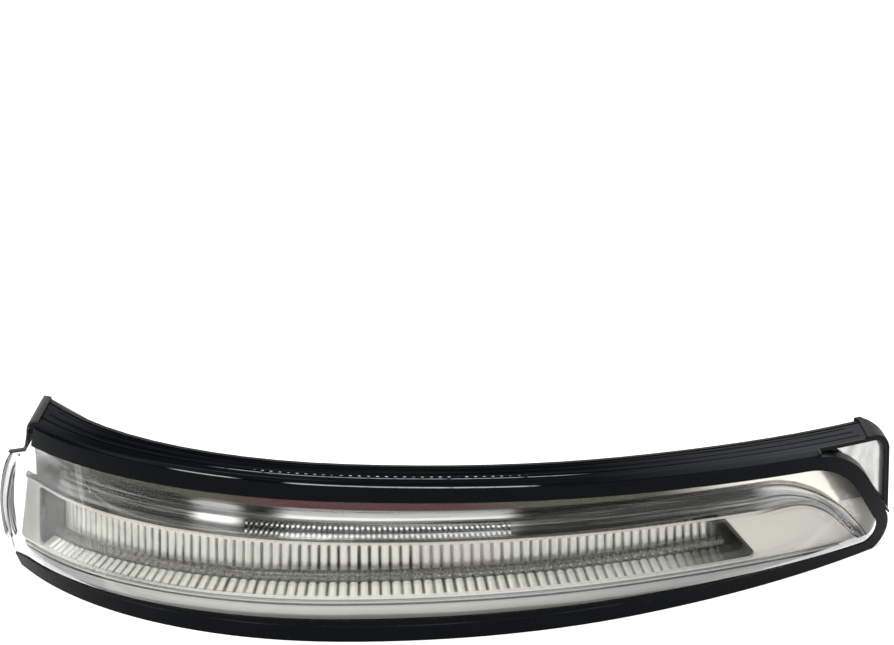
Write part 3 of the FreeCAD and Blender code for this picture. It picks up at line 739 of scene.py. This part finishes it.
@dataclass(frozen=True)
class PlainFinish:
    """A simple surface with fine variation of colour, gloss and grain."""

    colour: Triple
    darker: Triple
    roughness: float
    metallic: float = 0.0
    grain_scale: float = 900.0
    grain_depth: float = 0.00002
    coat: float = 0.0
    specular: float = 0.5
    broad_scale: float = 60.0
    broad_detail: float = 3.0
    gloss_range: float = 0.16
    grain_strength: float = 0.5

    def material(self, name: str) -> bpy.types.Material:
        """The finish as a material.

        Args:
            name: name of the material.

        Returns:
            The material.
        """
        paint = Paint(name)
        broad = paint.noise(paint.place(), self.broad_scale, self.broad_detail)
        fine = paint.noise(paint.place(), self.grain_scale)
        gloss = Slope(self.gloss_range, self.roughness - self.gloss_range / 2)
        return paint.finish(paint.principled({
            "Base Color": paint.mix(broad, self.colour, self.darker),
            "Roughness": paint.clamp(gloss.of(fine)), "Metallic": self.metallic,
            "Coat Weight": self.coat, "Specular IOR Level": self.specular,
            "Normal": paint.bump(fine, self.grain_strength, self.grain_depth)}))


@dataclass(frozen=True)
class BeadReflections:
    """Rows of bright dots in the cove, painted reflections of the ends of the flutes."""

    pitch: float = 1.45
    stray: Grain = Grain(0.5, 40.0, 0.0)
    wander: float = 0.1
    squash: float = 7.5
    size: Grain = Grain(0.8, 9.0, 6.0)
    size_line: Slope = Slope(0.22, 0.03)
    core: float = 0.02
    rows: tuple[tuple[float, float], ...] = ((0.33, 1.0), (0.13, 1.0), (0.92, 0.6))

    def row(self, paint: Paint, s: Value, share: Value, height: float) -> Value:
        """One row.

        Args:
            paint: the material in work.
            s: place along the nose line.
            share: height within the cove.
            height: the row's height within the cove.

        Returns:
            1 in a dot and 0 outside.
        """
        along = paint.cell(s, self.pitch)
        across = (share - height - self.stray.sway(s, height) * self.wander) * self.squash
        size = self.size_line.of(self.size.of(s, height))
        return 1.0 - paint.step(along * along + across * across, self.core, size)

    def of(self, paint: Paint, s: Value, share: Value) -> Term:
        """All rows, each by its weight."""
        return sum(self.row(paint, s, share, height) * weight for height, weight in self.rows)


@dataclass(frozen=True)
class CoveReflections:
    """Lightness of the cove's painted reflections: streaks along it, strips within its stretches
    and dots.
    """

    stretches: tuple[tuple[Stretch, Rise | Reach], ...] = (
        (Stretch.LEFT, Fall(-76.0, -54.0)),
        (Stretch.BLOB, Reach(-41.0, -27.0, 4.0)),
        (Stretch.DOTTED, Reach(-26.0, 46.0, 1.0)),
        (Stretch.MIDDLE, Reach(-16.0, 47.0, 5.0)),
        (Stretch.DIP, Reach(50.0, 92.0, 8.0)),
        (Stretch.RIGHT, Rise(104.0, 140.0)))
    grounds: tuple[tuple[Stretch, float], ...] = (
        (Stretch.WHOLE, 0.2), (Stretch.MIDDLE, 0.46), (Stretch.BLOB, 0.3),
        (Stretch.RIGHT, 0.34), (Stretch.DIP, -0.08))
    strips: tuple[tuple[Stretch, Tone], ...] = (
        (Stretch.LEFT, Tone(Reach(0.72, 0.97, 0.05), -0.4)),
        (Stretch.LEFT, Tone(Reach(0.1, 0.5, 0.15), 0.12)),
        (Stretch.BLOB, Tone(Reach(0.66, 0.84, 0.08), 0.7)),
        (Stretch.BLOB, Tone(Reach(0.26, 0.42, 0.06), 0.7)),
        (Stretch.MIDDLE, Tone(Reach(0.58, 0.86, 0.06), 0.6)),
        (Stretch.MIDDLE, Tone(Reach(0.44, 0.56, 0.04), -0.55)),
        (Stretch.DOTTED, Tone(Reach(0.2, 0.42, 0.03), -0.45)),
        (Stretch.WHOLE, Tone(Reach(0.93, 1.0, 0.02), 0.25)),
        (Stretch.MIDDLE, Tone(Reach(0.93, 1.0, 0.02), 0.3)),
        (Stretch.WHOLE, Tone(Reach(-0.02, 0.04, 0.02), -0.6)))
    long_streak: Grain = Grain(0.01, 3.2, 0.0, 4.0, 0.62)
    long_depth: float = 2.1
    fine_streak: Grain = Grain(0.02, 13.0, 3.0, 3.0, 0.6)
    fine_depth: float = 1.5
    bead_reflections: BeadReflections = BeadReflections()
    bead_light: float = 0.9

    def of(self, paint: Paint, s: Value, share: Value) -> Value:
        """The lightness.

        Args:
            paint: the material in work.
            s: place along the nose line.
            share: height within the cove.

        Returns:
            A value from 0 to 1.
        """
        masks = {stretch: shape.of(s) for stretch, shape in self.stretches}
        masks[Stretch.WHOLE] = 1.0
        level = self.long_streak.sway(s, share) * self.long_depth
        level = level + self.fine_streak.sway(s, share) * self.fine_depth
        level = level + sum(masks[stretch] * painted_light for stretch, painted_light in self.grounds)
        level = level + sum(masks[stretch] * tone.of(share) for stretch, tone in self.strips)
        bead_reflections = self.bead_reflections.of(paint, s, share) * masks[Stretch.DOTTED]
        level = paint.clamp(level + bead_reflections * self.bead_light)
        return level * level


@dataclass(frozen=True)
class Bow:
    """A line that falls ever faster beyond its start, in mm."""

    height: float
    start: float
    fall: float
    power: float = 2.4

    def at(self, s: Value) -> Value:
        """Height at s."""
        past = s.graph.math("MAXIMUM", s - self.start, 0.0)
        return self.height - s.graph.math("POWER", past, self.power) * self.fall


@dataclass(frozen=True)
class CoveTurn:
    """Painted reflection streaks and lines that turn down round the cove's right end."""

    outer: Bow = Bow(25.5, 116.0, 0.00206)
    inner: Bow = Bow(17.1, 130.0, 0.00392)
    streak: Grain = Grain(0.008, 4.2, 5.0, 3.0, 0.6)
    contrast: Slope = Slope(1.8, -0.4)
    lines: tuple[Tone, ...] = (
        Tone(Reach(0.8, 0.9, 0.03), 0.4), Tone(Reach(0.93, 1.02, 0.02), -0.85),
        Tone(Reach(0.44, 0.52, 0.03), -0.45), Tone(Reach(-0.04, 0.05, 0.02), -0.75))
    band: Reach = Reach(-0.04, 1.02, 0.01)

    def of(self, paint: Paint, s: Value, z: Value) -> tuple[Value, Value]:
        """The turned band.

        Args:
            paint: the material in work.
            s: place along the nose line.
            z: height.

        Returns:
            Its lightness, and its mask.
        """
        inner = self.inner.at(s)
        across = (z - inner) / (self.outer.at(s) - inner)
        level = self.contrast.of(self.streak.of(s, across))
        level = level + sum(line.of(across) for line in self.lines)
        return paint.clamp(level), self.band.of(across)


@dataclass(frozen=True)
class BezelPlating:
    """Bright plating of the bezel: cove with painted reflection streaks, grey margin, painted
    shade below the upper edge, pale plates, and bar with painted shade at its foot and in its
    groove.
    """

    bright: Triple = (0.95, 0.95, 0.92)
    dark: Triple = (0.02, 0.021, 0.018)
    plate: Triple = (0.88, 0.85, 0.76)
    ear: Triple = (0.44, 0.44, 0.4)
    bar_shade: Triple = (0.36, 0.36, 0.32)
    olive: Triple = (0.07, 0.07, 0.05)
    pink: Triple = (0.075, 0.036, 0.037)
    rail: Triple = (0.97, 0.97, 0.92)
    shade: Triple = (0.006, 0.007, 0.008)
    cove: CoveReflections = CoveReflections()
    turn: CoveTurn = CoveTurn()
    cove_end: Rise = Rise(140.0, 156.0)
    cove_side: Rise = Rise(-0.05, -0.02)
    margin_side: Rise = Rise(1.02, 1.06)
    pink_reach: Reach = Reach(-24.0, 40.0, 12.0)
    pale_right: Rise = Rise(84.0, 124.0)
    pale_left: Tone = Tone(Fall(-110.0, -70.0), 0.5)
    rim_side: Rise = Rise(-5.2, -4.4)
    grain: Grain = Grain(0.05, 0.9, 1.0, 3.0)
    grain_lift: float = 0.8
    grain_gloss: Slope = Slope(0.1, 0.1)
    bar_foot: Rise = Rise(4.5, 5.2)
    bar_groove: Reach = Reach(-1.95, -1.35, 0.2)
    bar_line: Tone = Tone(Reach(-0.95, -0.5, 0.15), 0.8)
    plate_side: Rise = Rise(0.0, 0.1)
    ear_side: Fall = Fall(-112.0, -96.0)
    turn_start: Rise = Rise(120.0, 132.0)
    metal: Slope = Slope(0.68, 0.02)
    specular: float = 0.2

    def above(self, paint: Paint, s: Value, share: Value, drop: Value) -> Socket:
        """Colour of the cove, painted with its reflections, and of the margin above it.

        Args:
            paint: the material in work.
            s: place along the nose line.
            share: height within the cove.
            drop: height over the upper edge.

        Returns:
            The colour.
        """
        # painted reflections: the cove's streaks, strips and dots between dark and bright
        cove = paint.mix(self.cove.of(paint, s, share), self.dark, self.bright)
        cove = paint.mix(self.cove_end.of(s), cove, self.plate)
        margin = paint.mix(self.pink_reach.of(s), self.olive, self.pink)
        pale = paint.clamp(self.pale_right.of(s) + self.pale_left.of(s))
        margin = paint.mix(pale, margin, self.plate)
        colour = paint.mix(self.margin_side.of(share), cove, margin)
        return paint.mix(self.rim_side.of(drop), colour, self.shade)

    def below(self, paint: Paint, s: Value, sill: Value, grain: Value) -> Socket:
        """Colour of the bar below the window, with painted shade at its foot and in its groove,
        and of the plates beside it.

        Args:
            paint: the material in work.
            s: place along the nose line.
            sill: height over the window's foot.
            grain: noise of the plating.

        Returns:
            The colour.
        """
        # painted shade: the bar darkens towards its foot
        foot = self.bar_foot.of(grain * self.grain_lift - sill)
        bar = paint.mix(foot, self.rail, self.bar_shade)
        # painted shade: a dark line in the bar's groove
        bar = paint.mix(self.bar_groove.of(sill), bar, self.dark)
        bar = paint.mix(self.bar_line.of(sill), bar, self.dark)
        plates = paint.mix(self.ear_side.of(s), self.plate, self.ear)
        return paint.mix(self.plate_side.of(sill), bar, plates)

    def material(self, name: str) -> bpy.types.Material:
        """The finish as a material.

        Args:
            name: name of the material.

        Returns:
            The material.
        """
        paint = Paint(name)
        x, _, _ = paint.parts()
        s, _, z = paint.along_lamp()
        foot = COVE_FOOT.at(s)
        share = (z - foot) / (COVE_TOP.at(s) - foot)
        sill = z - WINDOW_FOOT.at(s)
        grain = self.grain.of(s, z)
        side = self.cove_side.of(share)
        colour = paint.mix(side, self.below(paint, s, sill, grain),
                           self.above(paint, s, share, z - PLAN.crest(x)))
        # painted reflections turning down round the cove's right end
        painted_light, turned = self.turn.of(paint, s, z)
        turn = paint.mix(turned, self.plate, paint.mix(painted_light, self.dark, self.bright))
        shown = self.turn_start.of(s) * paint.clamp(self.plate_side.of(sill) + turned)
        return paint.finish(paint.principled({
            "Base Color": paint.mix(shown, colour, turn), "Metallic": self.metal.of(side),
            "Roughness": paint.clamp(self.grain_gloss.of(grain)),
            "Specular IOR Level": self.specular}))


@dataclass(frozen=True)
class FlutePlating:
    """Satin plating of the flutes, with painted shade in the valleys, under the ends of the upper
    ribs and at the pocket's ends.
    """

    start: float = -100.0
    cream: Triple = (0.88, 0.88, 0.79)
    warm: Triple = (0.78, 0.71, 0.67)
    valley_shade: Triple = (0.07, 0.07, 0.052)
    pocket_shade: Triple = (0.055, 0.055, 0.053)
    metallic: float = 0.3
    roughness: float = 0.3
    painted_light_noise: Grain = Grain(0.45, 0.1, 0.0, 3.0)
    shade_strength: Slope = Slope(1.3, 0.15)
    lean: float = 0.22
    patch: Grain = Grain(0.045, 0.0, 4.0)
    line_width: Slope = Slope(0.2, 0.08)
    line_edge: Fall = Fall(0.35, 1.25)
    upper_row: Rise = Rise(0.3, 0.34)
    warm_reach: Reach = Reach(21.0, 43.0, 2.0)
    warm_share: float = 0.7
    warm_calm: float = 0.45
    left_calm: Tone = Tone(Fall(-98.0, -60.0), 0.3)
    dot_top: Fall = Fall(0.38, 0.44)
    dot_reach: Tone = Tone(Reach(-16.0, 22.0, 4.0), 0.35)
    right_shade: Tone = Tone(Rise(90.0, 106.0), 0.85)
    right_end: Rise = Rise(110.6, 111.4)
    left_end: Fall = Fall(-104.2, -103.6)

    def material(self, name: str) -> bpy.types.Material:
        """The finish as a material.

        Args:
            name: name of the material.

        Returns:
            The material.
        """
        paint = Paint(name)
        s, _, z = paint.along_lamp()
        shade_noise = self.painted_light_noise.of(s, z)
        # painted shade: dark lines in the flutes' valleys, their strength and lean varied by
        # noise
        phase = paint.cell(s - (self.start - FLUTE_PITCH / 2), FLUTE_PITCH)
        edge = paint.math("ABSOLUTE", phase + (shade_noise - 0.5) * self.lean)
        line = self.line_edge.of(edge / self.line_width.of(self.patch.of(s)))
        foot = WINDOW_FOOT.at(s)
        height = (z - foot) / (COVE_FOOT.at(s) - foot)
        upper = self.upper_row.of(height)
        rosy = self.warm_reach.of(s) * upper
        strength = self.shade_strength.of(shade_noise) - rosy * self.warm_calm - self.left_calm.of(s)
        # painted shadows: dark dots under the ends of the upper row's ribs
        dots = upper * self.dot_top.of(height) * self.dot_reach.of(s)
        colour = paint.mix(rosy * self.warm_share, self.cream, self.warm)
        dark = paint.clamp(line * paint.clamp(strength) + dots)
        colour = paint.mix(dark, colour, self.valley_shade)
        # painted shade: the lower part darkens towards the pocket's right end
        under = (1.0 - upper) * self.right_shade.of(s)
        colour = paint.mix(under, colour, self.pocket_shade)
        # painted shade: the pocket's end walls
        ends = paint.clamp(self.right_end.of(s) + self.left_end.of(s))
        return paint.finish(paint.principled({
            "Base Color": paint.mix(ends, colour, self.pocket_shade),
            "Metallic": self.metallic, "Roughness": self.roughness}))


@dataclass(frozen=True)
class GuideAcrylic:
    """Light guide that shows grey, notched and speckled between the rows of flutes, with painted
    shade in its notches and painted highlights on them and on the speckle.
    """

    grey: Triple = (0.2, 0.2, 0.16)
    deep: Triple = (0.035, 0.035, 0.026)
    guide_highlight: Triple = (0.9, 0.9, 0.86)
    coat: float = 0.5
    axis_u: float = 10.7
    axis_height: float = 0.9
    notch_edge: Fall = Fall(0.05, 0.2)
    notch_side: Rise = Rise(0.5, 1.0)
    notch_share: float = 0.75
    speck_stretch: Triple = (1.5, 2.6, 0.5)
    speck_detail: float = 3.0
    speck_rough: float = 0.75
    speck_grey: Rise = Rise(0.38, 0.6)
    speck_glint: Tone = Tone(Rise(0.64, 0.7), 0.75)
    speck_gloss: Slope = Slope(0.3, 0.1)
    speck_height: float = 0.4
    dot_edge: Fall = Fall(0.03, 0.09)
    dot_side: Reach = Reach(-0.15, 0.1, 0.1)
    dot_reach: Tone = Tone(Reach(26.0, 100.0, 6.0), 0.9)
    dot_speck: Tone = Tone(Rise(0.66, 0.7), 0.5)
    bump_strength: float = 0.6
    bump_depth: float = 0.0003

    def material(self, name: str) -> bpy.types.Material:
        """The finish as a material.

        Args:
            name: name of the material.

        Returns:
            The material.
        """
        paint = Paint(name)
        s, u, z = paint.along_lamp()
        rise = z - FLOOR_BACK.at(s) - self.axis_height
        around = paint.math("ARCTAN2", rise, u + self.axis_u)
        phase = paint.math("ABSOLUTE", paint.cell(s, FLUTE_PITCH))
        notch = self.notch_edge.of(phase) * self.notch_side.of(around)
        stretched = (value * by for value, by in zip((s, around, z), self.speck_stretch))
        speck = paint.noise(paint.vector(*stretched), 1.0, self.speck_detail, self.speck_rough)
        colour = paint.mix(self.speck_grey.of(speck), self.deep, self.grey)
        # painted shade in the notches
        colour = paint.mix(notch * self.notch_share, colour, self.deep)
        # painted highlights: bright dots at the notches and glints on the speckle
        dot = self.dot_edge.of(phase) * self.dot_side.of(around)
        shown = self.dot_reach.of(s) + self.dot_speck.of(speck)
        colour = paint.mix(paint.clamp(dot * shown), colour, self.guide_highlight)
        colour = paint.mix(self.speck_glint.of(speck), colour, self.guide_highlight)
        height = notch + speck * self.speck_height
        return paint.finish(paint.principled({
            "Base Color": colour, "Roughness": paint.clamp(self.speck_gloss.of(speck)),
            "Coat Weight": self.coat,
            "Normal": paint.bump(height, self.bump_strength, self.bump_depth)}))


Finish = Union[ClearAcrylic, GuideAcrylic, BezelPlating, FlutePlating, EdgeRubber, PlainFinish]
FINISHES: tuple[tuple[str, Finish, tuple[str, ...]], ...] = (
    ("clear_lens", ClearAcrylic(), ("outer_lens",)),
    ("guide_acrylic", GuideAcrylic(), ("light_guide",)),
    ("bezel_plating", BezelPlating(), ("bezel",)),
    ("flute_plating", FlutePlating(), ("flute_reflector",)),
    ("edge_rubber", EdgeRubber(), ("edge_seal",)),
    ("housing_plastic",
     PlainFinish(colour=(0.006, 0.0065, 0.0075), darker=(0.003, 0.0035, 0.004),
                 roughness=0.4, specular=0.06),
     ("housing",)),
    ("solder_mask",
     PlainFinish(colour=(0.03, 0.16, 0.07), darker=(0.02, 0.1, 0.05), roughness=0.35, coat=0.4),
     ("board_left", "board_centre", "board_right")),
    ("led_dome",
     PlainFinish(colour=(0.85, 0.8, 0.5), darker=(0.8, 0.72, 0.4), roughness=0.25),
     ("leds_left", "leds_centre", "leds_right")),
    ("chip_body",
     PlainFinish(colour=(0.02, 0.02, 0.022), darker=(0.015, 0.015, 0.017), roughness=0.45),
     ("driver_chip", "diode", "resistors")),
    ("capacitor",
     PlainFinish(colour=(0.4, 0.26, 0.14), darker=(0.34, 0.2, 0.1), roughness=0.4),
     ("capacitor",)),
    ("link_film",
     PlainFinish(colour=(0.6, 0.26, 0.04), darker=(0.5, 0.2, 0.03), roughness=0.3),
     ("board_links",)),
    ("brass",
     PlainFinish(colour=(0.83, 0.68, 0.35), darker=(0.7, 0.55, 0.25), roughness=0.3,
                 metallic=1.0),
     ("terminals",)),
    ("soft_rubber",
     PlainFinish(colour=(0.02, 0.02, 0.021), darker=(0.014, 0.014, 0.015), roughness=0.6),
     ("socket_seal", "vent_plug")),
    ("zinc",
     PlainFinish(colour=(0.6, 0.6, 0.62), darker=(0.48, 0.48, 0.5), roughness=0.3,
                 metallic=1.0),
     ("board_screws", "bezel_screws")),
    ("foam",
     PlainFinish(colour=(0.05, 0.05, 0.052), darker=(0.025, 0.025, 0.027), roughness=0.9,
                 grain_scale=1500.0, grain_depth=0.0002),
     ("foam_pads",)))


class Dressing:
    """Gives the lamp's own nodes their finishes."""

    def __init__(self, nodes: dict[str, bpy.types.Object]) -> None:
        """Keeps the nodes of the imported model.

        Args:
            nodes: objects by node name.
        """
        self.nodes = nodes

    def coat(self, names: tuple[str, ...], material: bpy.types.Material) -> None:
        """Gives nodes one material.

        Args:
            names: node names.
            material: what they get.
        """
        for name in names:
            slots = self.nodes[name].data.materials
            slots.clear()
            slots.append(material)
            LOG.info("%s is %s", name, material.name)

    def build(self) -> None:
        """Dresses every node."""
        for label, finish, names in FINISHES:
            self.coat(names, finish.material(label))


def aim(place: Triple, target: Triple) -> Matrix:
    """Puts a camera or a lamp at a place, looking at a target.

    Args:
        place: where it stands.
        target: what it looks at.

    Returns:
        Its matrix in the world.
    """
    look = (Vector(target) - Vector(place)).to_track_quat("-Z", "Y")
    return Matrix.Translation(Vector(place)) @ look.to_matrix().to_4x4()


def put(name: str, data: bpy.types.ID, matrix: Matrix) -> bpy.types.Object:
    """Adds an object to the scene.

    Args:
        name: its name.
        data: what it holds.
        matrix: its matrix in the world.

    Returns:
        The object.
    """
    holder = bpy.data.objects.new(name, data)
    bpy.context.scene.collection.objects.link(holder)
    holder.matrix_world = matrix
    return holder


@dataclass(frozen=True)
class SoftLamp:
    """Square soft lamp aimed at the object, its power in watts."""

    name: str
    place: Triple
    side: float
    power: float
    target: Triple = (0.03, 0.0, 0.02)

    def hang(self) -> None:
        """Adds the lamp to the scene."""
        data = bpy.data.lights.new(self.name, "AREA")
        data.size = self.side
        data.energy = self.power
        put(self.name, data, aim(self.place, self.target))


@dataclass(frozen=True)
class Studio:
    """White floor, soft lamps and the photograph's camera, in metres."""

    camera_place: Triple = (0.02716, -0.51428, 0.23490)
    camera_target: Triple = (0.02716, -0.008, 0.08382)
    roll_degrees: float = 0.313
    focal_pixels: float = 2190.2
    sensor: float = 36.0
    near_clip: float = 0.01
    floor_side: float = 12.0
    floor_grey: Triple = (0.8, 0.8, 0.8)
    floor_roughness: float = 0.9
    floor_glow: float = 0.66
    light_strength: float = 0.45
    backdrop_strength: float = 1.0
    lamps: tuple[SoftLamp, ...] = (
        SoftLamp("key_lamp", (-0.25, -0.5, 0.9), 0.6, 6.0),
        SoftLamp("top_lamp", (0.1, 0.35, 0.8), 0.5, 3.0))

    def camera(self) -> None:
        """Sets the camera as the photograph was taken."""
        data = bpy.data.cameras.new("camera")
        data.sensor_width = self.sensor
        data.lens = self.focal_pixels * self.sensor / PHOTO_WIDTH
        data.clip_start = self.near_clip
        roll = Matrix.Rotation(math.radians(self.roll_degrees), 4, "Z")
        matrix = aim(self.camera_place, self.camera_target) @ roll
        bpy.context.scene.camera = put("camera", data, matrix)

    def floor(self) -> None:
        """Pale floor that shows white to the camera and keeps the shadow."""
        bpy.ops.object.select_all(action="DESELECT")
        bpy.ops.mesh.primitive_plane_add(size=self.floor_side, location=(0, 0, 0))
        floor = bpy.context.object
        floor.name = "floor"
        paint = Paint("floor")
        lit = paint.principled({"Base Color": self.floor_grey, "Roughness": self.floor_roughness,
                                "Specular IOR Level": 0.0})
        glow = paint.node("Emission", inputs={"Color": WHITE, "Strength": self.floor_glow})
        both = paint.node("AddShader", inputs={0: lit, 1: glow.outputs[0]}).outputs[0]
        floor.data.materials.append(paint.finish(paint.blend(paint.showing(), lit, both)))

    def world(self) -> None:
        """White backdrop that lights the lamp softly."""
        world = bpy.data.worlds.new("studio")
        bpy.context.scene.world = world
        world.use_nodes = True
        graph = Graph(world.node_tree, "OutputWorld")
        lights, shows = (
            graph.node("Background", inputs={"Color": WHITE, "Strength": strength}).outputs[0]
            for strength in (self.light_strength, self.backdrop_strength))
        graph.close(graph.blend(graph.showing(), lights, shows))

    def build(self) -> None:
        """Makes the whole studio."""
        self.camera()
        self.floor()
        self.world()
        for lamp in self.lamps:
            lamp.hang()
        view = bpy.context.scene.view_settings
        view.view_transform = "Standard"


def main() -> None:
    """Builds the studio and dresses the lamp."""
    logging.basicConfig(level=logging.INFO)
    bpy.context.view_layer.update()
    Studio().build()
    Dressing(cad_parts).build()


if __name__ == "__main__":
    main()
